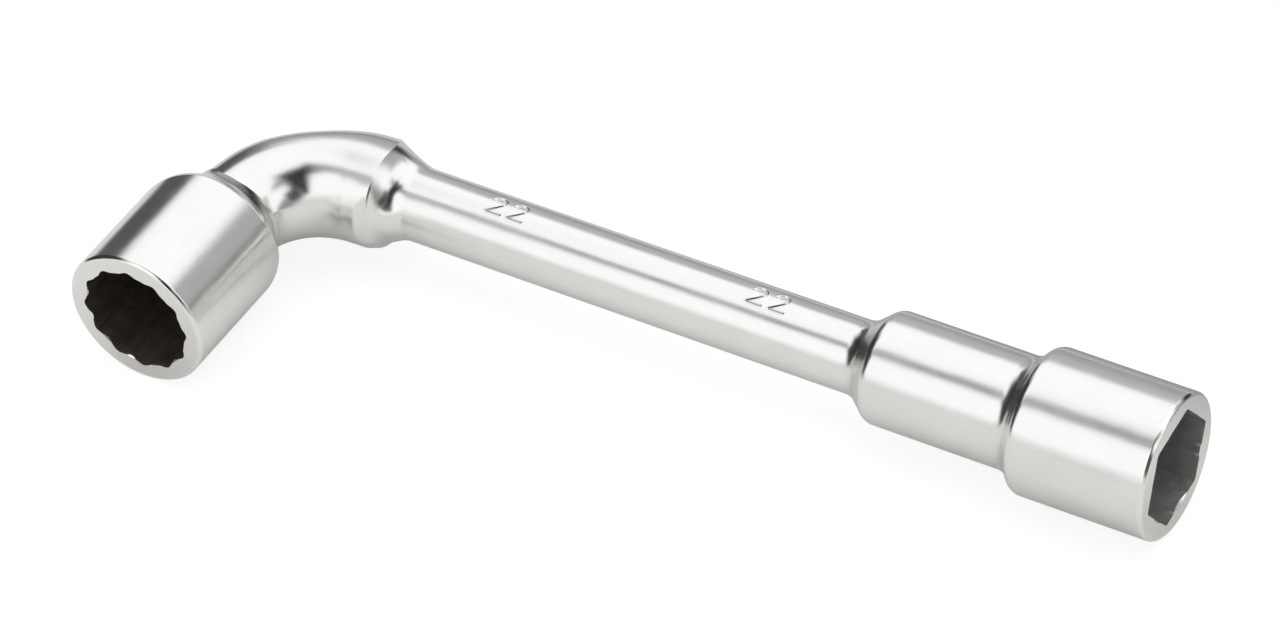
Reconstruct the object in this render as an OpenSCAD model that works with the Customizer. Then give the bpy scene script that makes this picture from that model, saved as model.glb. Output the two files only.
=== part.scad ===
// Angled socket wrench, bored through so that a threaded rod can pass.
// The short arm carries a twelve-point socket and the long arm a six-point one, both for the same nut.
// It is one forging. Its nodes are the lengths between the rings and shoulders that show on it.
// The profiles are worked out about the crossing of the two arm axes: the long arm runs along +X
// and the short arm along -Y. The wrench lies flat, centred over its footprint, on Z = 0.

/* [Sockets] */
// Width across flats of the nut that both sockets turn
across_flats = 22; // [20:0.5:26]
// Clearance of both sockets over the nut, across flats
socket_clearance = 0.1; // [0.05:0.05:0.3]
// Depth of the six-point socket
hex_depth = 24; // [16:1:28]
// Depth of the twelve-point socket
star_depth = 22; // [14:1:26]
// Amount cut round from each corner of both sockets
corner_relief = 0.2; // [0.1:0.05:0.4]
// Width of the lead-in cone at the six-point mouth, measured out from the flats
hex_lead_in = 0.5; // [0.3:0.05:1.3]
// Width of the lead-in cone at the twelve-point mouth, measured out from the flats
star_lead_in = 0.8; // [0.6:0.05:1.3]
// Turn of the six-point socket about the long arm, in degrees
hex_turn = 8.4; // [0:0.1:60]
// Turn of the twelve-point socket about the short arm, in degrees
star_turn = 2; // [0:0.1:30]

/* [Heads] */
// Wall of the six-point head outside the socket's corners
hex_wall = 2.7; // [2:0.1:4]
// Wall of the twelve-point head outside the socket's corners
star_wall = 3.1; // [2:0.1:4.5]
// Length of the six-point head, with its shoulder
hex_head_length = 35; // [30:0.5:45]
// Length of the shoulder behind the six-point head
hex_shoulder = 6.6; // [5:0.1:12]
// Length of the twelve-point head, with its shoulder
star_head_length = 38; // [32:0.5:40]
// Length of the shoulder behind the twelve-point head
star_shoulder = 12; // [9:0.5:14]
// Share of that shoulder's rise that its hollow foot takes
star_foot_share = 0.3; // [0.2:0.05:0.6]
// Diameter of the ring where the twelve-point head starts
star_ring_d = 19.8; // [18:0.1:21]
// Rounding of the outer edge at both mouths
mouth_rounding = 0.8; // [0.3:0.1:1.5]

/* [Arms] */
// Length of the long arm, from the crossing of the axes to the mouth
long_arm = 207.7; // [180:0.5:260]
// Length of the short arm, from the crossing of the axes to the mouth
short_arm = 56; // [54:0.5:64]
// Diameter of the shank
shank_d = 15.7; // [13:0.1:18]
// Diameter of the sleeve
sleeve_d = 23.9; // [21.5:0.1:26]
// Length of the sleeve, with its shoulder
sleeve_length = 36; // [30:0.5:50]
// Length of the shoulder between the shank and the sleeve
sleeve_shoulder = 8; // [6:0.1:12]
// Share of the rise that the hollow foot takes, on the long arm's shoulders
foot_share = 0.6; // [0.3:0.05:0.7]

/* [Elbow] */
// Radius of the bend, on its centre line
bend_radius = 24; // [23:0.5:27]
// Diameter of the elbow where it leaves the collar
elbow_collar_d = 23; // [21:0.1:23.2]
// Diameter of the elbow where it enters the twelve-point head
elbow_head_d = 20.8; // [19:0.1:22]
// Diameter of the collar between the elbow and the shank
collar_d = 23.6; // [23.2:0.1:26]
// Length of the collar, with its fall to the shank
collar_length = 10; // [8:0.5:16]
// Share of the collar's rise that its hollow foot takes
collar_foot_share = 0.65; // [0.3:0.05:0.7]
// Rounding of the collar's front edge
collar_rounding = 0.3; // [0.1:0.05:0.5]

/* [Bores] */
// Diameter of the bore that passes a threaded rod through the short arm and the elbow
through_bore_d = 15; // [12:0.5:16]
// Diameter of the blind bore behind the six-point socket
deep_bore_d = 16; // [12:0.5:17]
// Depth of the blind bore, from the mouth of the long arm to the end of its wall
deep_bore_depth = 56; // [40:1:60]
// Point angle of the drill that leaves the cone at the bottom of the blind bore
drill_point = 118; // [90:1:140]

/* [Hidden] */
chrome = [0.80, 0.80, 0.79];
arc_steps = 8;
bend_steps = 18;
bar_sides = 60;
$fn = 96;
// Overrun of a cut past the face that it opens
over = 1;

socket_flat_r = (across_flats + socket_clearance) / 2;
socket_corner_r = socket_flat_r / cos(30);
hex_head_r = socket_corner_r + hex_wall;
star_head_r = socket_corner_r + star_wall;
star_ring_r = star_ring_d / 2;
shank_r = shank_d / 2;
sleeve_r = sleeve_d / 2;
elbow_collar_r = elbow_collar_d / 2;
elbow_head_r = elbow_head_d / 2;
collar_r = collar_d / 2;
through_bore_r = through_bore_d / 2;
deep_bore_r = deep_bore_d / 2;

// Stations along the long arm
collar_start = bend_radius;
shank_start = collar_start + collar_length;
hex_head_start = long_arm - hex_head_length;
sleeve_start = hex_head_start - sleeve_length;
hex_floor = long_arm - hex_depth;
deep_bore_end = long_arm - deep_bore_depth;
drill_point_length = deep_bore_r / tan(drill_point / 2);

// The elbow ends flush with the collar on the inside of the bend, so its end is set off the axis
elbow_offset = collar_r - elbow_collar_r;

// Stations along the short arm
star_ring = short_arm - star_head_length;
star_floor = short_arm - star_depth;

// Where the crossing of the axes comes when the wrench lies centred over its footprint on Z = 0
crossing = [
    (star_head_r - long_arm) / 2,
    (short_arm - hex_head_r) / 2,
    max(star_head_r, hex_head_r)
];

// Points of an arc of radius r about c, from angle a to angle b
function arc(c, r, a, b) = [
    for (i = [0:arc_steps])
        let (t = a + (b - a) * i / arc_steps)
        c + r * [cos(t), sin(t)]
];

// Outline of a shoulder that climbs from radius r0 to radius r1 over a length:
// a hollow foot and a round crown that meet on one tangent
function shoulder(station, r0, r1, length, foot) =
    let (rise = r1 - r0,
         radii = (length * length + rise * rise) / (2 * rise),
         tilt = 2 * atan(rise / length),
         foot_r = radii * foot,
         crown_r = radii - foot_r)
    concat(
        arc([r0 + foot_r, station], foot_r, 180, 180 - tilt),
        arc([r1 - crown_r, station + length], crown_r, -tilt, 0)
    );

// Outline of the rounded outer edge at the end of a round bar
function edge(station, r, rounding) =
    arc([r - rounding, station - rounding], rounding, 0, 90);

// Lays the wrench down, with its profiles about the crossing of the axes
module laid_down() {
    color(chrome)
        translate(crossing)
            children();
}

// Turns what stands on +Z onto the long arm
module on_long_arm() {
    rotate([90, 0, 90])
        children();
}

// Turns what stands on +Z onto the short arm
module on_short_arm() {
    rotate([90, 0, 0])
        children();
}

// Round bar from one station to another, whose outside follows the outline between them
module turned(from, outline, to) {
    rotate_extrude()
        polygon(concat([[0, from]], outline, [[0, to]]));
}

// Hexagons turned into one another, with their corners cut round
module socket_outline(hexagons) {
    intersection() {
        for (i = [0:hexagons - 1])
            rotate(i * 60 / hexagons)
                circle(r = socket_corner_r, $fn = 6);
        circle(r = socket_corner_r - corner_relief);
    }
}

// Socket from its floor to its mouth, with the lead-in cone
module socket(hexagons, turn, floor, mouth, lead_in) {
    rotate(turn)
        translate([0, 0, floor])
            linear_extrude(mouth - floor + over)
                socket_outline(hexagons);
    translate([0, 0, mouth - lead_in])
        cylinder(
            r1 = socket_flat_r,
            r2 = socket_flat_r + lead_in + over,
            h = lead_in + over
        );
}

// Bore for the threaded rod: from the twelve-point socket out through the back of the elbow
module through_bore() {
    translate([0, 0, -collar_r])
        cylinder(r = through_bore_r, h = collar_r + star_floor + over);
}

// Blind bore behind the six-point socket, with the cone that the drill leaves
module deep_bore() {
    translate([0, 0, deep_bore_end])
        cylinder(r = deep_bore_r, h = hex_floor - deep_bore_end + over);
    translate([0, 0, deep_bore_end - drill_point_length])
        cylinder(r1 = 0, r2 = deep_bore_r, h = drill_point_length);
}

// Ring of the elbow's bar, at an angle round the bend that runs from 0 at the collar to 90 at the
// short arm, and at a distance further along the short arm
function bar_ring(angle, further) =
    let (share = angle / 90,
         r = elbow_collar_r + (elbow_head_r - elbow_collar_r) * share,
         out = [-sin(angle), cos(angle), 0],
         centre = [bend_radius, -bend_radius - further, 0]
             + (bend_radius - elbow_offset * (1 - share)) * out)
    [for (i = [0:bar_sides - 1])
        let (t = 360 * i / bar_sides)
        centre + r * (cos(t) * out + [0, 0, sin(t)])];

// Bar of the elbow: it tapers round the bend, then runs straight into the twelve-point head
module elbow_bar() {
    straight = star_floor - over - bend_radius;
    rings = concat(
        [for (i = [0:bend_steps]) bar_ring(90 * i / bend_steps, 0)],
        [bar_ring(90, straight)]
    );
    last = (len(rings) - 1) * bar_sides;
    sides = [
        for (i = [0:len(rings) - 2], j = [0:bar_sides - 1])
            let (k = (j + 1) % bar_sides)
            [i * bar_sides + j, i * bar_sides + k, (i + 1) * bar_sides + k, (i + 1) * bar_sides + j]
    ];
    start_face = [for (j = [bar_sides - 1:-1:0]) j];
    end_face = [for (j = [0:bar_sides - 1]) last + j];
    polyhedron(
        points = [for (ring = rings) each ring],
        faces = concat(sides, [start_face, end_face]),
        convexity = 4
    );
}

// What lies between two stations of the short arm
module between_stations(from, to) {
    side = collar_r + over;
    intersection() {
        children();
        translate([-side, -to, -side])
            cube([bend_radius + side + over, to - from, 2 * side]);
    }
}

module twelve_point_head() {
    laid_down()
        difference() {
            union() {
                on_short_arm()
                    turned(
                        star_ring,
                        concat(
                            shoulder(star_ring, star_ring_r, star_head_r, star_shoulder,
                                star_foot_share),
                            edge(short_arm, star_head_r, mouth_rounding)
                        ),
                        short_arm
                    );
                between_stations(star_ring, star_floor)
                    elbow_bar();
            }
            on_short_arm() {
                socket(2, star_turn, star_floor, short_arm, star_lead_in);
                through_bore();
            }
        }
}

module elbow() {
    laid_down()
        difference() {
            between_stations(-collar_r - over, star_ring)
                elbow_bar();
            on_short_arm()
                through_bore();
        }
}

// The outline runs from the shank back to the ring, so it is mirrored
module collar() {
    laid_down()
        on_long_arm()
            mirror([0, 0, 1])
                turned(
                    -shank_start,
                    concat(
                        shoulder(-shank_start, shank_r, collar_r, collar_length - collar_rounding,
                            collar_foot_share),
                        edge(-collar_start, collar_r, collar_rounding)
                    ),
                    -collar_start
                );
}

module shank() {
    laid_down()
        on_long_arm()
            translate([0, 0, shank_start])
                cylinder(r = shank_r, h = sleeve_start - shank_start);
}

module sleeve() {
    laid_down()
        on_long_arm()
            difference() {
                turned(
                    sleeve_start,
                    concat(
                        shoulder(sleeve_start, shank_r, sleeve_r, sleeve_shoulder, foot_share),
                        [[sleeve_r, hex_head_start]]
                    ),
                    hex_head_start
                );
                deep_bore();
            }
}

module hex_head() {
    laid_down()
        on_long_arm()
            difference() {
                turned(
                    hex_head_start,
                    concat(
                        shoulder(hex_head_start, sleeve_r, hex_head_r, hex_shoulder, foot_share),
                        edge(long_arm, hex_head_r, mouth_rounding)
                    ),
                    long_arm
                );
                socket(1, hex_turn, hex_floor, long_arm, hex_lead_in);
                deep_bore();
            }
}

twelve_point_head();
elbow();
collar();
shank();
sleeve();
hex_head();
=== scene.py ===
from math import cos, degrees, hypot, pi, radians, sin, sqrt, tan

import bmesh
import bpy
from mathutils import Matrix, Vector


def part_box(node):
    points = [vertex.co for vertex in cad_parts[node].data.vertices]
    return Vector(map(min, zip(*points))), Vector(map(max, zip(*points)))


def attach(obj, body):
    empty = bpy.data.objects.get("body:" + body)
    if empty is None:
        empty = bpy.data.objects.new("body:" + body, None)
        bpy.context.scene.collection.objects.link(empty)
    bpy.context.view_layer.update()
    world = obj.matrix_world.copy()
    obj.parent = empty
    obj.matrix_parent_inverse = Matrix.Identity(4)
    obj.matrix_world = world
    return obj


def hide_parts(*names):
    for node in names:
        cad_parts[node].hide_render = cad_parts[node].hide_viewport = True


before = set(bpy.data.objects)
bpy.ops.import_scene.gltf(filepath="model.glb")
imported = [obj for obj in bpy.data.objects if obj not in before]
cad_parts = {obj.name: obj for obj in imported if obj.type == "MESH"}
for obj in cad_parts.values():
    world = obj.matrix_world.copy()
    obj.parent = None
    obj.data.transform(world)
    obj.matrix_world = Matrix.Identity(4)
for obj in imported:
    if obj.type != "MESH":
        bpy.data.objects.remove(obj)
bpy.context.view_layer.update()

mm = 0.001
white = (1, 1, 1, 1)
headLow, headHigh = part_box("twelve_point_head")
hexLow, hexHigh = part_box("hex_head")
# where the axes of the two arms cross; the long arm runs along +X from here, the short arm along -Y
crossing = Vector(((headLow.x + headHigh.x) / 2, (hexLow.y + hexHigh.y) / 2, (hexLow.z + hexHigh.z) / 2))
print("frame loaded, arms cross at", [round(c / mm, 2) for c in crossing])


# shader maths: a Wire is a socket that can stand in an expression
class Wire:
    def __init__(self, finish, socket):
        self.finish = finish
        self.socket = socket

    def maths(self, operation, a, b):
        return self.finish.node("ShaderNodeMath", {"operation": operation}, {0: a, 1: b})

    def __add__(self, other):
        return self.maths("ADD", self, other)

    def __radd__(self, other):
        return self.maths("ADD", other, self)

    def __sub__(self, other):
        return self.maths("SUBTRACT", self, other)

    def __rsub__(self, other):
        return self.maths("SUBTRACT", other, self)

    def __mul__(self, other):
        return self.maths("MULTIPLY", self, other)

    def __rmul__(self, other):
        return self.maths("MULTIPLY", other, self)


# the node tree of one material, or of the world
class Finish:
    def __init__(self, owner):
        owner.use_nodes = True
        self.owner = owner
        self.tree = owner.node_tree
        self.tree.nodes.clear()

    def node(self, kind, settings=None, values=None, output=0):
        made = self.tree.nodes.new(kind)
        for key, value in (settings or {}).items():
            setattr(made, key, value)
        for key, value in (values or {}).items():
            if isinstance(value, Wire):
                self.tree.links.new(value.socket, made.inputs[key])
            else:
                made.inputs[key].default_value = value
        return Wire(self, made.outputs[output]) if made.outputs else None

    def place(self, axis=None, squeeze=1):
        # millimetres in the row frame, squeezed along the axis of the lines
        where = self.node("ShaderNodeTexCoord", output="Object")
        scaleAndPaintedShade = [(squeeze if name == axis else 1) / mm for name in "XYZ"]
        return self.node("ShaderNodeVectorMath", {"operation": "MULTIPLY"}, {0: where, 1: scaleAndPaintedShade})

    def split(self, vector):
        parts = self.node("ShaderNodeSeparateXYZ", {}, {0: vector}).socket.node
        return [Wire(self, part) for part in parts.outputs]

    def noise(self, where, scaleAndPaintedShade, detail, roughness):
        return self.node("ShaderNodeTexNoise", {"noise_dimensions": "3D"},
                         {"Vector": where, "Scale": scaleAndPaintedShade, "Detail": detail, "Roughness": roughness})

    def blend(self, noises, shares):
        total = noises[0] * shares[0]
        for noise, share in zip(noises[1:], shares[1:]):
            total = total + noise * share
        return total

    def remap(self, value, source, target=(0, 1)):
        return self.node("ShaderNodeMapRange", {"interpolation_type": "SMOOTHSTEP"}, {
            "Value": value, "From Min": source[0], "From Max": source[1],
            "To Min": target[0], "To Max": target[1]})

    def mix(self, factor, a, b):
        # 0, 6 and 7 are the sockets of a Mix node for colours, and 2 is its result
        return self.node("ShaderNodeMix", {"data_type": "RGBA"}, {0: factor, 6: a, 7: b}, output=2)

    def bump(self, height, strength, distance, normal=None):
        values = {"Height": height, "Strength": strength, "Distance": distance}
        if normal is not None:
            values["Normal"] = normal
        return self.node("ShaderNodeBump", {}, values)

    def metal(self, colour, metallic, roughness, normal):
        return self.node("ShaderNodeBsdfPrincipled", {}, {
            "Base Color": colour, "Metallic": metallic, "Roughness": roughness, "Normal": normal})

    def ray(self, kind):
        # 1 for a ray of this kind
        return self.node("ShaderNodeLightPath", output="Is " + kind + " Ray")

    def glow(self, strength):
        return self.node("ShaderNodeEmission", {}, {"Color": white, "Strength": strength})

    def matt(self, colour):
        return self.node("ShaderNodeBsdfDiffuse", {}, {"Color": colour})

    def both(self, a, b):
        return self.node("ShaderNodeAddShader", {}, {0: a, 1: b})

    def either(self, factor, a, b):
        return self.node("ShaderNodeMixShader", {}, {0: factor, 1: a, 2: b})

    def end(self, surface, kind="ShaderNodeOutputMaterial"):
        self.node(kind, {}, {"Surface": surface})
        return self.owner


# satin chrome: plated steel, polished along each arm and then lightly blasted
chromeLook = {
    "bright": (0.91, 0.91, 0.895, 1), "dull": (0.88, 0.88, 0.862, 1), "worn": (0.92, 0.92, 0.905, 1),
    "scaleAndPaintedShade": (0.16, 0.155, 0.145, 1),  # painted shade: the dark colour laid into hollows and creases
    "metallic": 1.0, "roughness": (0.16, 0.22), "wornRoughness": 0.13,
    # noises: cells to the millimetre, detail and roughness
    "patches": (0.16, 3, 0.5),  # of the blasting
    "grain": (4.5, 2, 0.6),  # its grain, about a quarter of a millimetre
    "lines": (2.6, 3, 0.6), "squeeze": 0.05,  # polishing lines that still show
    "wave": (0.11, 1, 0.5),  # the forging isn't quite true
    # shares of patches, lines and grain in the roughness, and of patches and lines in the colour
    "roughShares": (0.5, 0.3, 0.2), "roughRange": (0.35, 0.65),
    "colourShares": (0.6, 0.4), "colourRange": (0.4, 0.65),
    # bumps: strength, and height in metres
    "waveBump": (0.5, 0.00015), "lineBump": (0.3, 0.00002), "grainBump": (0.35, 0.000012),
}


def satinChrome(name, axis):
    look = chromeLook
    f = Finish(bpy.data.materials.new(name))
    where = f.place()
    patches = f.noise(where, *look["patches"])
    grain = f.noise(where, *look["grain"])
    lines = f.noise(f.place(axis, look["squeeze"]), *look["lines"])
    wave = f.noise(where, *look["wave"])
    # the mesh says where it is worn bright, above 0, or darkened with painted shade, below 0
    wearAndPaintedShade = f.node("ShaderNodeAttribute", {"attribute_name": "wearAndPaintedShade"}, output="Fac")
    worn = f.remap(wearAndPaintedShade, (0, 1))
    scaleAndPaintedShade = f.remap(wearAndPaintedShade, (0, -1))
    uneven = f.blend((patches, lines, grain), look["roughShares"])
    rough = f.remap(uneven, look["roughRange"], look["roughness"])
    rough = rough * (1 - worn) + worn * look["wornRoughness"]
    brightness = f.remap(f.blend((patches, lines), look["colourShares"]), look["colourRange"])
    colour = f.mix(brightness, look["dull"], look["bright"])
    colour = f.mix(worn, colour, look["worn"])
    # painted shade: the colour darkens where the mesh's value falls below 0
    colour = f.mix(scaleAndPaintedShade, colour, look["scaleAndPaintedShade"])
    normal = f.bump(wave, *look["waveBump"])
    normal = f.bump(lines, *look["lineBump"], normal)
    normal = f.bump(grain, *look["grainBump"], normal)
    return f.end(f.metal(colour, look["metallic"], rough, normal))


# inside the sockets and bores: steel that the plating hardly reached, with the lines of its tool
bareLook = {
    "lines": (3.5, 3, 0.65), "squeeze": 0.03, "lineBump": (0.3, 0.00001),
    "stains": (0.35, 4, 0.6), "shares": (0.5, 0.5), "range": (0.35, 0.65), "roughSpread": 0.08,
}
starWallLook = {
    "axis": "Y", "dark": (0.10, 0.078, 0.064, 1), "light": (0.16, 0.128, 0.106, 1),
    "metallic": 0.7, "roughness": 0.5,
}
hexWallLook = {
    "axis": "X", "dark": (0.47, 0.465, 0.45, 1), "light": (0.53, 0.525, 0.505, 1),
    "metallic": 0.9, "roughness": 0.5,
}
boreWallLook = {
    "axis": "Z", "dark": (0.10, 0.095, 0.09, 1), "light": (0.2, 0.19, 0.18, 1),
    "metallic": 0.8, "roughness": 0.45,
}


def bareSteel(name, look):
    f = Finish(bpy.data.materials.new(name))
    lines = f.noise(f.place(look["axis"], bareLook["squeeze"]), *bareLook["lines"])
    stains = f.noise(f.place(), *bareLook["stains"])
    uneven = f.blend((stains, lines), bareLook["shares"])
    spread = bareLook["roughSpread"]
    rough = f.remap(uneven, bareLook["range"], (look["roughness"] - spread, look["roughness"] + spread))
    colour = f.mix(f.remap(uneven, bareLook["range"]), look["dark"], look["light"])
    return f.end(f.metal(colour, look["metallic"], rough, f.bump(lines, *bareLook["lineBump"])))


chromeLong = satinChrome("satinChromeLongArm", "X")
chromeShort = satinChrome("satinChromeShortArm", "Y")
chromeBend = satinChrome("satinChromeElbow", "Z")
starWall = bareSteel("starSocketWall", starWallLook)
hexWall = bareSteel("hexSocketWall", hexWallLook)
boreWall = bareSteel("drilledBoreWall", boreWallLook)
print("finishes made:", len(bpy.data.materials))


def onLongArm(station, radius, angle):
    # angle 0 is on the side of the short arm, 90 degrees is up
    return crossing + mm * Vector((station, -radius * cos(angle), radius * sin(angle)))


def onShortArm(station, radius, angle):
    # angle 0 is on the side of the long arm, 90 degrees is up
    return crossing + mm * Vector((radius * cos(angle), -station, radius * sin(angle)))


def addObject(name, data):
    made = bpy.data.objects.new(name, data)
    bpy.context.scene.collection.objects.link(made)
    return made


def ringOf(points, material, wearAndPaintedShade=0.0):
    # the material is that of the strip up to the next ring; its wear, above 0, or painted shade, below 0, is
    # one number, or one for each point
    return {"points": points, "material": material, "wearAndPaintedShade": wearAndPaintedShade}


def roundRing(place, station, radius, angles, material, wearAndPaintedShade=0.0):
    return ringOf([place(station, radius, a) for a in angles], material, wearAndPaintedShade)


def skin(name, rings, materials, loop=False, tip=None, crease=32):
    # a closed skin over rings of points: the last ring joins the first, or both ends get a cap, the last
    # one with its pole at the tip
    mesh = bpy.data.meshes.new(name)
    b = bmesh.new()
    # each point keeps its wear, above 0, or its painted shade, below 0
    wearAndPaintedShade = b.verts.layers.float.new("wearAndPaintedShade")
    rows = []
    for ring in rings:
        row = [b.verts.new(point) for point in ring["points"]]
        each = ring["wearAndPaintedShade"] if isinstance(ring["wearAndPaintedShade"], list) else [ring["wearAndPaintedShade"]] * len(row)
        for v, worn in zip(row, each):
            v[wearAndPaintedShade] = worn
        rows.append(row)
    faces = []
    count = len(rows[0])
    for ring, row, beyond in zip(rings, rows, rows[1:] + (rows[:1] if loop else [])):
        for k in range(count):
            n = (k + 1) % count
            faces.append((b.faces.new((row[k], row[n], beyond[n], beyond[k])), ring))
    if not loop:
        for ring, row, pole in ((rings[0], rows[0], None), (rings[-1], rows[-1], tip)):
            middle = sum((v.co for v in row), Vector()) / count if pole is None else pole
            centre = b.verts.new(middle)
            for k in range(count):
                faces.append((b.faces.new((centre, row[k], row[(k + 1) % count])), ring))
    for face, ring in faces:
        face.material_index = materials.index(ring["material"])
        face.smooth = True
    bmesh.ops.recalc_face_normals(b, faces=b.faces)
    b.to_mesh(mesh)
    b.free()
    for material in materials:
        mesh.materials.append(material)
    mesh.set_sharp_from_angle(angle=radians(crease))
    return addObject(name, mesh)


def dress(piece, node):
    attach(piece, "root")
    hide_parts(node)
    print(piece.name, "has", len(piece.data.polygons), "faces and stands for", node)


def rounds(count):
    return [2 * pi * k / count for k in range(count)]


def steps(a, b, count):
    return [a + (b - a) * i / count for i in range(count + 1)]


def smooth(t):
    t = max(0.0, min(1.0, t))
    return t * t * (3 - 2 * t)


def between(span, value):
    return smooth((value - span[0]) / (span[1] - span[0]))


def wrapped(angle, first=-180):
    # the same direction in degrees, in the full turn that starts at first
    return (angle - first) % 360 + first


def curveThrough(table, at):
    # a smooth curve through a few pairs
    if at <= table[0][0]:
        return table[0][1]
    for i in range(len(table) - 1):
        (x0, y0), (x1, y1) = table[i], table[i + 1]
        if at <= x1:
            before, after = table[max(0, i - 1)], table[min(len(table) - 1, i + 2)]
            m0 = (y1 - before[1]) / (x1 - before[0]) * (x1 - x0) if i else 0.0
            m1 = (after[1] - y0) / (after[0] - x0) * (x1 - x0) if i < len(table) - 2 else 0.0
            t = (at - x0) / (x1 - x0)
            return (y0 * (1 + 2 * t) * (1 - t) ** 2 + m0 * t * (1 - t) ** 2
                    + y1 * t * t * (3 - 2 * t) + m1 * t * t * (t - 1))
    return table[-1][1]


# stations from the crossing and radii that neighbouring regions share; all lengths are in millimetres
seams = {
    "collarStart": 24.0, "shankStart": 34.0, "sleeveStart": 136.7, "hexHeadStart": 172.7,
    "shankRadius": 7.84, "sleeveRadius": 11.94, "deepBore": 8.0, "throughBore": 7.5,
    "ringGap": 0.04,  # from a seam or a foot to the next ring, which keeps the shading true there
}

# what the two heads share: a shoulder, a straight side, and a mouth that has rubbed bright
headForm = {
    "archSteps": 14, "sideSteps": 10,
    "sideFrom": 1.0, "sideTo": 0.3,  # how far the side's rings keep from the shoulder and the mouth's edge
    "flatSteps": 6, "roundSteps": 8,  # of the two roundings at the mouth, behind and before its tilted flat
    "edgeWear": 0.8, "faceWear": 0.25, "lipWear": 0.6, "coneWear": 0.3,
    "faceShares": (0.15, 0.5, 0.85, 0.97, 1),  # rings of the end face, from its rim to the lip
    "coneShares": (0.5, 1), "lipDrop": 0.02, "coneDrop": 0.04,  # keep rings apart where there is no cone
    "wallFrom": 1.6, "wallTo": 0.4, "wallSteps": 14,  # from the mouth and from the floor
    "floorRadius": 9.5,
}


def shoulder(p, low):
    # hollow foot, straight flank and round crown that climb from radius low to the piece's own
    tilt, high = radians(p["slope"]), p["radius"]
    foot, crown = p["footRadius"], p["crownRadius"]
    flank = (high - low - foot * (1 - cos(tilt)) - crown * (1 - cos(tilt))) / sin(tilt)
    arch = steps(0, tilt, headForm["archSteps"])
    line = [(p["start"] + foot * sin(a), low + foot * (1 - cos(a))) for a in arch]
    line.insert(1, (p["start"] + seams["ringGap"], low))
    s = line[-1][0] + flank * cos(tilt)
    arch = steps(tilt, 0, headForm["archSteps"])
    return line + [(s + crown * (sin(tilt) - sin(a)), high - crown * (1 - cos(a))) for a in arch]


def sideEnd(p):
    # the side of a head is straight up to here, just short of the roundings at its mouth
    return p["mouth"] - p["mouthRounding"] - p["mouthFlat"] - headForm["sideTo"]


def mouthEdge(p):
    # two roundings with a narrow flat between them, tilted by so many degrees
    lean, rounding, flat = radians(p["mouthTilt"]), p["mouthRounding"], p["mouthFlat"]

    def rounded(a):
        return p["mouth"] - rounding + rounding * sin(a), p["radius"] - rounding + rounding * cos(a)

    back = [rounded(a) for a in steps(0, lean, headForm["flatSteps"])]
    front = [rounded(a) for a in steps(lean, pi / 2, headForm["roundSteps"])]
    return [(s - flat * cos(lean), r) for s, r in back] + [(s, r - flat * sin(lean)) for s, r in front]


def mouthRings(place, p, outline, chrome, wall):
    # from the mouth's edge inward: end face, lead-in cone, socket wall
    h = headForm
    angles = rounds(p["columns"])
    rings = [roundRing(place, s, r, angles, chrome, h["edgeWear"]) for s, r in mouthEdge(p)]
    cone = [p["flatRadius"] + curveThrough(p["leadIn"], degrees(a)) for a in angles]
    lip = [max(c, r) for c, r in zip(cone, outline)]
    rim = p["radius"] - p["mouthRounding"] - p["mouthFlat"] * sin(radians(p["mouthTilt"]))
    for share in h["faceShares"]:
        points = [place(p["mouth"], rim + (edge - rim) * share, a) for edge, a in zip(lip, angles)]
        rings.append(ringOf(points, chrome, h["faceWear"] if share < 1 else h["lipWear"]))
    for share in h["coneShares"]:
        points = []
        for edge, r, a in zip(lip, outline, angles):
            s = p["mouth"] - (edge - r) * share - h["lipDrop"] - h["coneDrop"] * share
            points.append(place(s, edge + (r - edge) * share, a))
        rings.append(ringOf(points, chrome if share < 1 else wall, h["coneWear"]))
    for s in steps(p["mouth"] - h["wallFrom"], p["floor"] + h["wallTo"], h["wallSteps"]) + [p["floor"]]:
        rings.append(ringOf([place(s, r, a) for r, a in zip(outline, angles)], wall))
    return rings


def polygonRadius(angle, flatRadius, corners):
    # distance to the outline of a regular polygon, with a flat facing angle 0
    half = pi / corners
    return flatRadius / cos((angle + half) % (2 * half) - half)


def softened(outline, count, width):
    # the broach leaves its corners round: the outline is averaged twice over a few columns
    values = [outline(a) for a in rounds(count)]
    for _ in range(2):
        values = [sum(values[(k + i) % count] for i in range(-width, width + 1)) / (2 * width + 1)
                  for k in range(count)]
    return values


# the six-point head
hexHead = {
    "start": seams["hexHeadStart"], "mouth": 207.7, "radius": 15.456,
    "footRadius": 4.76, "slope": 52.5, "crownRadius": 2.57,
    "mouthRounding": 0.5, "mouthFlat": 0.4, "mouthTilt": 26,
    "flatRadius": 11.05, "flatAt": 21.6,  # degrees from the inside of the bend to the middle of a flat
    "cornerCut": 0.2, "cornerWidth": 1,  # off each corner, and the columns either side that round it
    "floor": 183.7, "boreRadius": seams["deepBore"],
    # by degrees round the arm: the cone at the mouth is cut deeper below
    "leadIn": ((0, 0.1), (205, 0.1), (240, 0.3), (265, 0.42), (310, 0.38), (345, 0.12), (360, 0.1)),
    "columns": 288,
}


def makeHexHead():
    p = hexHead
    angles = rounds(p["columns"])

    def hexagon(angle):
        return polygonRadius(angle - radians(p["flatAt"]), p["flatRadius"], 6)

    corner = p["flatRadius"] / cos(pi / 6) - p["cornerCut"]
    outline = [min(r, corner) for r in softened(hexagon, p["columns"], p["cornerWidth"])]
    line = shoulder(p, seams["sleeveRadius"])
    side = steps(line[-1][0] + headForm["sideFrom"], sideEnd(p), headForm["sideSteps"])
    line += [(s, p["radius"]) for s in side]
    rings = [roundRing(onLongArm, s, r, angles, chromeLong) for s, r in line]
    rings += mouthRings(onLongArm, p, outline, chromeLong, hexWall)
    # the socket's floor, and the bore back to the sleeve
    inner = ((p["floor"], headForm["floorRadius"]), (p["floor"], p["boreRadius"]),
             (p["start"], p["boreRadius"]))
    rings += [roundRing(onLongArm, s, r, angles, boreWall) for s, r in inner]
    return skin("hexHead", rings, [chromeLong, hexWall, boreWall], loop=True)


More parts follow.
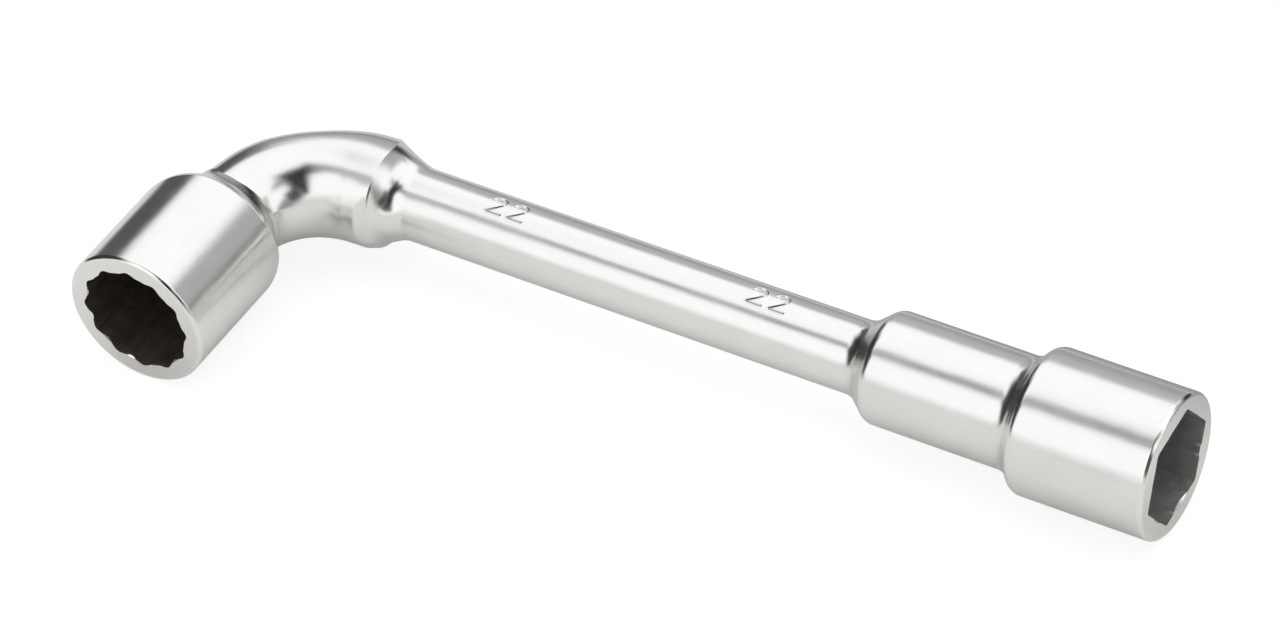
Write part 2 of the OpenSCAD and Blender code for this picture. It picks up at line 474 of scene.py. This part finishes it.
dress(makeHexHead(), "hex_head")


# the sleeve behind it, with the blind bore
sleeve = {
    "start": seams["sleeveStart"], "end": seams["hexHeadStart"], "radius": seams["sleeveRadius"],
    "footRadius": 5.26, "slope": 40.4, "crownRadius": 2.96, "sideFrom": 1.0, "sideSteps": 12,
    "boreRadius": seams["deepBore"], "boreEnd": 151.7, "boreSteps": 8, "drillPoint": 118, "columns": 216,
}


def makeSleeve():
    p = sleeve
    angles = rounds(p["columns"])
    line = shoulder(p, seams["shankRadius"])
    side = steps(line[-1][0] + p["sideFrom"], p["end"] - seams["ringGap"], p["sideSteps"])
    line += [(s, p["radius"]) for s in side + [p["end"]]]
    rings = [roundRing(onLongArm, s, r, angles, chromeLong) for s, r in line]
    for s in steps(p["end"], p["boreEnd"], p["boreSteps"]):
        rings.append(roundRing(onLongArm, s, p["boreRadius"], angles, boreWall))
    tip = onLongArm(p["boreEnd"] - p["boreRadius"] / tan(radians(p["drillPoint"] / 2)), 0, 0)
    return skin("sleeveTube", rings, [chromeLong, boreWall], tip=tip)


dress(makeSleeve(), "sleeve")


# the shank, with its size stamped into it twice, each time as two figures 2
shank = {
    "start": seams["shankStart"], "end": seams["sleeveStart"], "radius": seams["shankRadius"],
    "figureStarts": (51.7, 56.75, 112.85, 118.0),  # stations of the left edges
    "figurePitch": 5.1, "figureWidth": 3.2, "figureHeight": 4.35,
    "baseline": 71.8,  # degrees round the shank from the inside of the bend to the feet of the figures
    # a figure in shares of its width and height: radii and ends of its hook, and the kink below it
    "hookRadii": (0.47, 0.30), "hookTurn": (168, -30), "hookSteps": 18, "kink": (0.55, 0.30),
    "grooveHalfWidth": 0.26, "grooveDepth": 0.21, "groovePower": 1.2, "burr": 0.03,
    "paintedShade": 0.62, "paintedShadeReach": 1.15,  # painted shade in the foot of each figure, and how far it reaches
    # the mesh is fine round the figures and plain elsewhere
    "fineStep": 0.09, "margin": 0.75, "plainSteps": 44, "plainGap": 0.5, "plainColumns": 100, "crease": 60,
}


def figureTwo(p):
    # the strokes of a 2 as a line of points, in millimetres from its lower left corner
    w, h = p["figureWidth"], p["figureHeight"]
    rx, ry = w * p["hookRadii"][0], h * p["hookRadii"][1]
    hook = [radians(a) for a in steps(*p["hookTurn"], p["hookSteps"])]
    top = [(w * 0.5 + rx * cos(a), h - ry + ry * sin(a)) for a in hook]
    return top + [(w * p["kink"][0], h * p["kink"][1]), (0.0, 0.0), (w, 0.0)]


def toStroke(x, y, line):
    # distance from a point to the nearest stroke
    distances = []
    for (ax, ay), (bx, by) in zip(line, line[1:]):
        dx, dy = bx - ax, by - ay
        t = max(0.0, min(1.0, ((x - ax) * dx + (y - ay) * dy) / (dx * dx + dy * dy)))
        distances.append(hypot(x - ax - t * dx, y - ay - t * dy))
    return min(distances)


def makeShank():
    p = shank
    line = figureTwo(p)
    margin, gap, radius = p["margin"], p["plainGap"], p["radius"]
    stations = {p["start"], p["start"] + seams["ringGap"], p["end"] - seams["ringGap"], p["end"]}
    stations |= set(steps(p["start"] + gap, p["end"] - gap, p["plainSteps"]))
    for left in p["figureStarts"][::2]:
        low, high = left - margin, left + p["figurePitch"] + p["figureWidth"] + margin
        stations = {s for s in stations if not low - gap < s < high + gap}
        stations |= set(steps(low, high, round((high - low) / p["fineStep"])))
    base = radians(p["baseline"])
    low, high = base - margin / radius, base + (p["figureHeight"] + margin) / radius
    fine = steps(low, high, round((high - low) * radius / p["fineStep"]))
    angles = fine + steps(high, low + 2 * pi, p["plainColumns"])[1:-1]
    rings = []
    for s in sorted(stations):
        points, wearAndPaintedShade = [], []
        near = [left for left in p["figureStarts"] if left - margin <= s <= left + p["figureWidth"] + margin]
        for a in angles:
            r, paintedShade = radius, 0.0
            if near and a <= high:
                y = (a - base) * radius
                # painted shade darkens the foot of each figure
                foot = min(toStroke(s - left, y, line[-2:]) for left in near)
                paintedShade = p["paintedShade"] * smooth(p["paintedShadeReach"] - foot / p["grooveHalfWidth"])
                d = min(toStroke(s - left, y, line) for left in near) / p["grooveHalfWidth"]
                if d < 1:
                    r -= p["grooveDepth"] * (1 - d * d) ** p["groovePower"]
                elif d < 2:
                    r += p["burr"] * sin(pi * (d - 1))
            points.append(onLongArm(s, r, a))
            wearAndPaintedShade.append(-paintedShade)
        rings.append(ringOf(points, chromeLong, wearAndPaintedShade))
    return skin("shankBar", rings, [chromeLong], crease=p["crease"])


dress(makeShank(), "shank")


# elbow and collar follow one line: straight, then an easing curve, then a quarter turn
bendLine = {
    "easeFrom": 27.2, "ease": 7.24, "radius": 23.58,
    "tubeRadius": (11.73, 10.26), "tubeOffset": (0.62, -0.27),  # at the collar and at the head
    # how far the bar's outside and inside leave the round, in millimetres by degrees of turn
    "outside": ((0, 0.15), (9, 0.05), (18, -0.45), (28, -0.78), (38, -0.40), (46, 0.05), (54, 0.36),
                (64, 0.1), (76, -0.66), (90, -0.5)),
    "inside": ((0, 0.0), (8, 0.12), (24, 0.02), (42, -0.16), (60, 0.1), (70, 0.5), (78, 0.98), (84, 0.98),
               (90, 0.8)),
}


def onBendLine(length):
    # the point this far from where the easing starts, and the turn there; lengths below 0 run back along
    # the long arm, and the easing curve is the first terms of its series
    ease, radius = bendLine["ease"], bendLine["radius"]
    eased = min(max(length, 0.0), ease)
    turn = eased * eased / (2 * ease * radius)
    x = bendLine["easeFrom"] - (length if length < 0 else eased * (1 - turn * turn / 10))
    y = -eased ** 3 / (6 * ease * radius) * (1 - turn * turn / 14)
    if length > ease:
        more = turn + (length - ease) / radius
        x -= radius * (sin(more) - sin(turn))
        y -= radius * (cos(turn) - cos(more))
        turn = more
    return x, y, turn


def offsetCircle(radius, offset, angle):
    # distance from the bar's line to a circle whose centre is offset towards angle 0
    return offset * cos(angle) + sqrt(radius * radius - (offset * sin(angle)) ** 2)


def tubeRadius(turn, angle):
    share = turn / (pi / 2)
    (r0, r1), (o0, o1) = bendLine["tubeRadius"], bendLine["tubeOffset"]
    r = offsetCircle(r0 + (r1 - r0) * share, o0 + (o1 - o0) * share, angle)
    side = cos(angle)
    table = bendLine["inside"] if side > 0 else bendLine["outside"]
    return r + curveThrough(table, degrees(turn)) * side * side


# the collar: a ring with a crisp edge on the outside of the bend, soft on the inside
collar = {
    "start": seams["collarStart"], "end": seams["shankStart"], "shankRadius": seams["shankRadius"],
    # spans are in degrees away from the inside of the bend; the edge leans back over the top
    "edge": bendLine["easeFrom"], "edgeBack": 24.2, "edgeSpan": (98, 152),
    "fall": 2.7, "fallOnTop": 1.32, "fallSpan": (70, 130),  # how hollow the fall to the shank is
    "soft": ((24, 1.0), (25.2, 0.985), (26.6, 0.76), (28.6, 0.55), (30.6, 0.37), (32.6, 0.11), (34, 0.0)),
    "softSpan": (46, 4), "softBelow": 0.5, "softBelowSpan": (115, 62),  # half as soft on the underside
    "edgeWear": 0.7,
    # painted shade just behind the edge: where it is thickest, how far it reaches, and over what share of
    # the fall
    "paintedShade": 0.9, "paintedShadeAt": 41, "paintedShadeReach": 22, "paintedShadeShare": 0.035,
    "riseShares": [0, 0.02] + steps(0.1, 0.97, 7) + [0.985, 1],  # rings up to the edge
    "fallShares": [0.006, 0.015, 0.03, 0.05] + steps(0.075, 0.99, 34) + [1],  # and down to the shank
    "columns": 216, "crease": 20,
}


def makeCollar():
    p = collar
    angles = rounds(p["columns"])
    around = [wrapped(degrees(a)) for a in angles]
    # painted shade: a dark band in the hollow just behind the edge
    paintedShade = [-p["paintedShade"] * smooth(1 - abs(d - p["paintedShadeAt"]) / p["paintedShadeReach"]) for d in around]
    rings = []
    for share, falling in [(t, False) for t in p["riseShares"]] + [(t, True) for t in p["fallShares"]]:
        points = []
        for a, d in zip(angles, around):
            away = abs(d)
            edge = p["edge"] + (p["edgeBack"] - p["edge"]) * between(p["edgeSpan"], away)
            fall = p["fall"] + (p["fallOnTop"] - p["fall"]) * between(p["fallSpan"], away)
            s = edge + (p["end"] - edge) * share if falling else p["start"] + (edge - p["start"]) * share
            crisp = (1 - share) ** fall if falling else 1.0
            softness = between(p["softSpan"], away)
            if d < 0:
                softness = max(softness, p["softBelow"] * between(p["softBelowSpan"], away))
            y, turn = onBendLine(bendLine["easeFrom"] - s)[1:]
            height = crisp + (curveThrough(p["soft"], s) - crisp) * softness
            r = p["shankRadius"] + (tubeRadius(turn, a) - p["shankRadius"]) * height
            points.append(onLongArm(s, r, a) + mm * Vector((0, y, 0)))
        wearAndPaintedShade = 0.0
        if share == 1 and not falling:
            wearAndPaintedShade = p["edgeWear"]
        elif falling and share < p["paintedShadeShare"]:
            wearAndPaintedShade = paintedShade
        rings.append(ringOf(points, chromeLong, wearAndPaintedShade))
    return skin("collarRing", rings, [chromeLong], crease=p["crease"])


dress(makeCollar(), "collar")


# the elbow: a round bar that thins towards the short arm, with the bore coming out at its back
elbow = {
    "end": 20.05, "boreRadius": seams["throughBore"], "columns": 216, "bendFrom": 0.3, "bendSteps": 96,
    "squareOver": 6,  # the rings lean over from square to the long arm to square to the bend
    "drillFrom": -30, "drillBeyond": 5,  # the drill starts behind the elbow and ends beyond its cut end
    "drillColumns": 160, "crease": 40,
}


def makeElbow():
    p = elbow
    angles = rounds(p["columns"])
    first = bendLine["easeFrom"] - seams["collarStart"]
    last = bendLine["ease"] / 2 + bendLine["radius"] * pi / 2
    lean = onBendLine(first)[2]
    rings = []
    for length in [first, first + seams["ringGap"]] + steps(first + p["bendFrom"], last, p["bendSteps"]):
        x, y, turn = onBendLine(length)
        tilt = turn - lean * (1 - smooth((length - first) / p["squareOver"]))
        points = []
        for a in angles:
            r = tubeRadius(turn, a)
            inward = r * cos(a)
            place = Vector((x + inward * sin(tilt), y - inward * cos(tilt), r * sin(a)))
            points.append(crossing + mm * place)
        rings.append(ringOf(points, chromeBend))
    piece = skin("elbowBar", rings, [chromeBend, boreWall], crease=p["crease"])
    # cut off inside the head, then bored along the short arm
    b = bmesh.new()
    b.from_mesh(piece.data)
    bmesh.ops.bisect_plane(b, geom=b.verts[:] + b.edges[:] + b.faces[:], clear_outer=True,
                           plane_co=crossing + mm * Vector((0, -p["end"], 0)), plane_no=(0, -1, 0))
    bmesh.ops.holes_fill(b, edges=[e for e in b.edges if e.is_boundary], sides=0)
    b.to_mesh(piece.data)
    b.free()
    drillRings = [roundRing(onShortArm, s, p["boreRadius"], rounds(p["drillColumns"]), boreWall)
                  for s in (p["drillFrom"], p["end"] + p["drillBeyond"])]
    drill = skin("elbowDrill", drillRings, [chromeBend, boreWall])
    bored = piece.modifiers.new("bore", "BOOLEAN")
    bored.operation = "DIFFERENCE"
    bored.solver = "EXACT"
    bored.object = drill
    bpy.context.view_layer.objects.active = piece
    piece.select_set(True)
    bpy.ops.object.modifier_apply(modifier=bored.name)
    drillMesh = drill.data
    bpy.data.objects.remove(drill)
    bpy.data.meshes.remove(drillMesh)
    for face in piece.data.polygons:
        face.use_smooth = True
    piece.data.set_sharp_from_angle(angle=radians(p["crease"]))
    return piece


dress(makeElbow(), "elbow")


# the twelve-point head of the short arm
starHead = {
    "start": 18.15, "footRadius": 10.26, "ringStation": 22.09, "ringRadius": 11.38, "footSteps": 12,
    # the crown by degrees round the arm: its length, and how round it is (1 a cone, 2 an ellipse)
    "crownLength": ((-31, 6.3), (0, 4.5), (28, 4.8), (60, 4.85), (90, 5.0), (112, 6.2), (149, 8.7),
                    (200, 7.6), (270, 6.6), (329, 6.3)),
    "crownPower": ((-31, 1.5), (0, 1.16), (60, 1.12), (96, 1.14), (149, 1.66), (200, 1.66), (329, 1.5)),
    "crownSteps": 40, "sideShares": [0.002, 0.01, 0.04] + steps(0.1, 1, 10),
    # painted shade in the hollow behind the crown, most of all on top; it starts at the fifth ring and fades
    # out at so many radians of the crown's arc
    "paintedHollowShadeRing": 4, "scaleAndPaintedShade": 0.22, "paintedHollowShadeOnTop": 0.5, "paintedHollowShadeAt": 57, "paintedHollowShadeReach": 34,
    "paintedHollowShadeEnd": 1.5, "paintedHollowShadeFade": 0.45,
    "radius": 15.85, "mouth": 56.0, "mouthRounding": 0.5, "mouthFlat": 0.35, "mouthTilt": 38,
    "flatRadius": 11.05, "flatAt": 2.0, "cornerWidth": 2, "leadIn": ((0, 0.78), (360, 0.78)),
    "floor": 34.0, "boreRadius": seams["throughBore"], "seat": 20.1, "seatRadius": 9.0, "columns": 288,
}


def makeStarHead():
    p = starHead
    angles = rounds(p["columns"])
    around = [wrapped(degrees(a), p["crownLength"][0][0]) for a in angles]
    crownLengths = [curveThrough(p["crownLength"], d) for d in around]
    crownPowers = [2 / curveThrough(p["crownPower"], d) for d in around]

    def twoHexagons(angle):
        turned = angle - radians(p["flatAt"])
        return max(polygonRadius(a, p["flatRadius"], 6) for a in (turned - radians(30), turned))

    outline = softened(twoHexagons, p["columns"], p["cornerWidth"])
    rise, run = p["ringRadius"] - p["footRadius"], p["ringStation"] - p["start"]
    hollow = (run * run + rise * rise) / (2 * rise)
    foot = [(p["start"] + s, p["footRadius"] + hollow - sqrt(hollow * hollow - s * s))
            for s in steps(0, run, p["footSteps"])]
    rings = [roundRing(onShortArm, s, r, angles, chromeShort) for s, r in foot]
    # painted shade in the hollow behind the crown, darkest on top
    onTop = [smooth(1 - abs(d - p["paintedHollowShadeAt"]) / p["paintedHollowShadeReach"]) for d in around]
    scaleAndPaintedShade = [-(p["scaleAndPaintedShade"] + p["paintedHollowShadeOnTop"] * share) for share in onTop]
    for ring in rings[p["paintedHollowShadeRing"]:]:
        ring["wearAndPaintedShade"] = scaleAndPaintedShade
    crownRise = p["radius"] - p["ringRadius"]
    for t in steps(0, pi / 2, p["crownSteps"])[1:]:
        points = []
        for a, length, power in zip(angles, crownLengths, crownPowers):
            points.append(onShortArm(p["ringStation"] + length * (1 - max(0.0, cos(t)) ** power),
                                     p["ringRadius"] + crownRise * sin(t) ** power, a))
        left = smooth((p["paintedHollowShadeEnd"] - t) / p["paintedHollowShadeFade"])
        rings.append(ringOf(points, chromeShort, [w * left for w in scaleAndPaintedShade]))
    for share in p["sideShares"]:
        points = []
        for a, length in zip(angles, crownLengths):
            s = p["ringStation"] + length
            points.append(onShortArm(s + (sideEnd(p) - s) * share, p["radius"], a))
        rings.append(ringOf(points, chromeShort))
    rings += mouthRings(onShortArm, p, outline, chromeShort, starWall)
    # the socket's floor, the bore, and the seat that the elbow enters
    inner = ((p["floor"], headForm["floorRadius"]), (p["floor"], p["boreRadius"]),
             (p["seat"], p["boreRadius"]), (p["seat"], p["seatRadius"]), (p["start"], p["seatRadius"]))
    rings += [roundRing(onShortArm, s, r, angles, boreWall) for s, r in inner]
    return skin("starHead", rings, [chromeShort, starWall, boreWall], loop=True)


dress(makeStarHead(), "twelve_point_head")
print("six regions of the forging are dressed")


# stage: floor, a surround that only the chrome mirrors, lamps and the world; lengths in metres
studio = {
    "floorSize": 14.0, "floorDrop": 0.00002, "floorGlow": 0.82, "floorColour": (0.25, 0.25, 0.25, 1),
    # the floor as the chrome mirrors it: a table that darkens behind the object and to its left
    "tableColour": (0.66, 0.657, 0.645, 1), "tableGlow": 0.05,
    "backLevel": 0.60, "backEdge": (0.03, 0.075),
    "rightLevel": 0.34, "rightEdge": (-0.08, -0.02), "rightSlope": 0.5,
    "leftLevel": 0.10, "leftEdge": (0.28, 0.36), "leftSlope": 0.55,
    "worldDiffuse": 0.75, "worldWhite": 1.0,
    "surroundRadius": 1.1, "surroundWhite": 1.09, "surroundColumns": 180,
    "surroundSpan": (-0.5, 88), "surroundSteps": 59, "steepest": 80,
    # soft grey flags on it: azimuth and elevation of the middle, reach both ways, tilt, edge, level
    "flags": (
        (-110, 0, 80, 4, 0, 17, 0.72),  # low front, where the white cloth meets the table
        (174, 8, 21, 26, -35, 22, 0.03),  # the dark left side of the room
        (199, 24, 10, 17, 0, 14, 0.04),
        (132, 0, 18, 12, 0, 11, 0.42),  # behind the object
        (147, 11, 8, 17, 0, 4, 0.09),
        (88, 8, 34, 14, 0, 10, 0.38),
        (47, 8, 15, 27, 0, 11, 0.43),
        (71, 6, 13, 11, 0, 9, 0.04),
        (36, 0, 7, 7, 0, 8, 0.25),
        (113, 24, 6, 7, 0, 9, 0.47),
        (-88, 71, 8, 6, 0, 9, 0.2),
        (-54, 49, 10, 23, 0, 11, 0.012),  # the camera, between two lamps
        (-25, 12, 24, 7, -32, 14, 0.30),  # the low right side
        (-38, 26, 7, 8, -20, 8, 0.06),
    ),
    # the slit between the lamps overhead, in degrees from its plane and of elevation
    "slitNormal": (-0.28, 1.0, 0.31), "slitHalf": 2.6, "slitEdge": 9, "slitLevel": 0.38,
    "slitFrom": 40, "slitFade": 18,
    # lamps: name, place, width and height, power
    "softboxes": (
        ("softboxTop", (0, 0.35, 1.5), (2.2, 1.5), 9),
        ("softboxFront", (-0.35, -1.5, 1.05), (1.8, 1.0), 5),
    ),
}


def floorMaterial():
    f = Finish(bpy.data.materials.new("studioFloor"))
    lit = f.glow((f.ray("Camera") + f.ray("Transmission")) * studio["floorGlow"])
    shown = f.both(lit, f.matt(studio["floorColour"]))
    table = f.both(f.glow(studio["tableGlow"]), f.matt(studio["tableColour"]))
    x, y = f.split(f.node("ShaderNodeTexCoord", output="Object"))[:2]
    back, right, left = (f.glow(studio[side + "Level"]) for side in ("back", "right", "left"))
    back = f.either(f.remap(x - y * studio["rightSlope"], studio["rightEdge"]), back, right)
    table = f.either(f.remap(y, studio["backEdge"]), table, back)
    table = f.either(f.remap(y * studio["leftSlope"] - x, studio["leftEdge"]), table, left)
    return f.end(f.either(f.ray("Glossy"), shown, table))


def makeFloor():
    half, drop = studio["floorSize"] / 2, studio["floorDrop"]
    corners = ((-half, -half), (half, -half), (half, half), (-half, half))
    mesh = bpy.data.meshes.new("studioFloor")
    b = bmesh.new()
    b.faces.new([b.verts.new((x, y, -drop)) for x, y in corners])
    b.to_mesh(mesh)
    b.free()
    mesh.materials.append(floorMaterial())
    made = addObject("studioFloor", mesh)


def surroundLevel(azimuth, elevation):
    level = studio["surroundWhite"]
    for middle, height, wide, tall, tilt, edge, flagLevel in studio["flags"]:
        across = wrapped(azimuth - middle) * cos(radians(min(elevation, studio["steepest"])))
        up = elevation - height
        u = across * cos(radians(tilt)) + up * sin(radians(tilt))
        v = up * cos(radians(tilt)) - across * sin(radians(tilt))
        out = hypot(max(0.0, abs(u) - wide), max(0.0, abs(v) - tall))
        level += (flagLevel - level) * smooth(1 - out / edge)
    # angle between this direction and the plane of the slit
    flat = cos(radians(elevation))
    direction = Vector((flat * cos(radians(azimuth)), flat * sin(radians(azimuth)), sin(radians(elevation))))
    off = abs(90 - degrees(direction.angle(Vector(studio["slitNormal"]))))
    share = smooth(1 - max(0.0, off - studio["slitHalf"]) / studio["slitEdge"])
    share *= smooth((elevation - studio["slitFrom"]) / studio["slitFade"])
    return level + (min(level, studio["slitLevel"]) - level) * share


def makeSurround():
    mesh = bpy.data.meshes.new("studioSurround")
    b = bmesh.new()
    glow = b.verts.layers.float.new("level")
    radius, columns = studio["surroundRadius"], studio["surroundColumns"]
    rows = []
    for elevation in steps(*studio["surroundSpan"], studio["surroundSteps"]):
        e = radians(elevation)
        row = []
        for a in rounds(columns):
            v = b.verts.new((radius * cos(e) * cos(a), radius * cos(e) * sin(a), radius * sin(e)))
            v[glow] = surroundLevel(degrees(a), max(elevation, 0))
            row.append(v)
        rows.append(row)
    for low, high in zip(rows, rows[1:]):
        for k in range(columns):
            n = (k + 1) % columns
            b.faces.new((low[k], low[n], high[n], high[k]))
    top = b.verts.new((0, 0, radius))
    top[glow] = surroundLevel(0, 90)
    for k in range(columns):
        b.faces.new((rows[-1][k], rows[-1][(k + 1) % columns], top))
    b.to_mesh(mesh)
    b.free()
    f = Finish(bpy.data.materials.new("studioSurround"))
    level = f.node("ShaderNodeAttribute", {"attribute_name": "level"}, output="Fac")
    mesh.materials.append(f.end(f.glow(level)))
    made = addObject("studioSurround", mesh)
    for rays in ("camera", "diffuse", "transmission", "shadow", "volume_scatter"):
        setattr(made, "visible_" + rays, False)


def softbox(name, place, size, power):
    data = bpy.data.lights.new(name, "AREA")
    data.shape = "RECTANGLE"
    data.size, data.size_y = size
    data.energy = power
    made = addObject(name, data)
    made.location = place
    made.rotation_mode = "QUATERNION"
    made.rotation_quaternion = (Vector() - Vector(place)).to_track_quat("-Z", "Y")
    made.visible_camera = False
    made.visible_glossy = False  # the surround is what the chrome mirrors


def makeWorld():
    # the world lights plainly, and camera, glossy and glass rays find white there
    f = Finish(bpy.data.worlds.new("studioWorld"))
    plain, bright = (f.node("ShaderNodeBackground", {}, {"Color": white, "Strength": studio[level]})
                     for level in ("worldDiffuse", "worldWhite"))
    seen = f.ray("Camera")
    for kind in ("Glossy", "Transmission"):
        seen = f.node("ShaderNodeMath", {"operation": "MAXIMUM"}, {0: seen, 1: f.ray(kind)})
    bpy.context.scene.world = f.end(f.either(seen, plain, bright), "ShaderNodeOutputWorld")


makeFloor()
makeSurround()
for box in studio["softboxes"]:
    softbox(*box)
makeWorld()
print("studio set")


# the camera stands where the photograph was taken from
view = {
    "place": (506.98 * mm, -758.457 * mm, 859.603 * mm),
    "turn": (0.88639498, 0.38066087, 0.13259396, 0.22764026),
    "lens": 174.544, "sensor": 36, "clip": (0.05, 50),
}
lens = bpy.data.cameras.new("camera")
lens.sensor_width = view["sensor"]
lens.lens = view["lens"]
lens.clip_start, lens.clip_end = view["clip"]
camera = addObject("camera", lens)
camera.rotation_mode = "QUATERNION"
camera.location = view["place"]
camera.rotation_quaternion = view["turn"]
bpy.context.scene.camera = camera
bpy.context.scene.view_settings.view_transform = "Standard"
print("camera placed")
